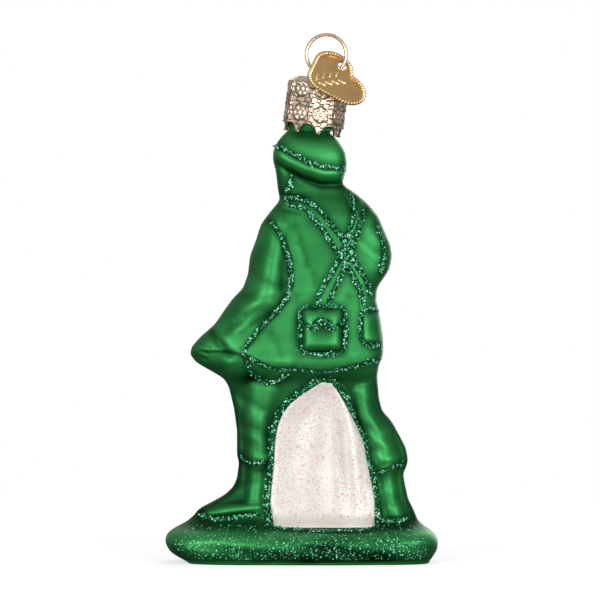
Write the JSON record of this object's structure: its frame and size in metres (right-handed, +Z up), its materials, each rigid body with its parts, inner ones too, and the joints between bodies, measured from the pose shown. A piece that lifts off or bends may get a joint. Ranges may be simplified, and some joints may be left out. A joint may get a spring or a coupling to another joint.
{
  "type": "hanging glass figure ornament",
  "caption": "Blown glass soldier figure on a rounded slab, hung by a sprung wire loop in a stamped metal cap, with glitter lines, pearl panels and a heart tag.",
  "frame": {"origin": "middle of the slab's underside", "axes": "+Z up, +X to the right and +Y away from a viewer who stands behind the soldier; Y = 0 is the mould's parting plane"},
  "size_m": [0.0617, 0.0298, 0.1199],
  "materials": {
    "green_glass": "silvered inside, satin green lacquer outside, opaque",
    "cap_metal": "bright champagne plated, stamped",
    "wire_metal": "bright champagne plated",
    "tag_metal": "yellow gold plated, stamped",
    "pearl_white": "pearl lacquer with fine iridescent glitter",
    "green_glitter": "emerald glitter on glue"
  },
  "bodies": {
    "figure": {"glass_body": "green_glass", "back_panel": "pearl_white", "front_panel": "pearl_white", "helmet_brim_glitter": "green_glitter", "chin_strap_glitter": "green_glitter", "left_sleeve_glitter": "green_glitter", "right_sleeve_glitter": "green_glitter", "cross_strap_glitter": "green_glitter", "left_pouch_glitter": "green_glitter", "right_pouch_glitter": "green_glitter", "jacket_hem_glitter": "green_glitter", "back_panel_border_glitter": "green_glitter", "front_panel_border_glitter": "green_glitter", "left_cuff_glitter": "green_glitter", "right_cuff_glitter": "green_glitter", "left_sole_glitter": "green_glitter", "right_sole_glitter": "green_glitter"},
    "cap": {"cap": "cap_metal"},
    "hanger": {"hanger_wire": "wire_metal"},
    "tag": {"tag": "tag_metal"}
  },
  "joints": [
    {"name": "cap_turn", "type": "hinge", "parent": "figure", "child": "cap", "pos_m": [0.00238, 0, 0.0971], "axis": [0.1305, 0, 0.9914], "continuous": true},
    {"name": "hanger_pull", "type": "slide", "parent": "cap", "child": "hanger", "axis": [0.1305, 0, 0.9914], "range_m": [0, 0.003]},
    {"name": "tag_swing", "type": "hinge", "parent": "hanger", "child": "tag", "pos_m": [0.0093, -0.00158, 0.11241], "axis": [0.5807, 0, 0.8141], "range_deg": [0, 45]}
  ]
}
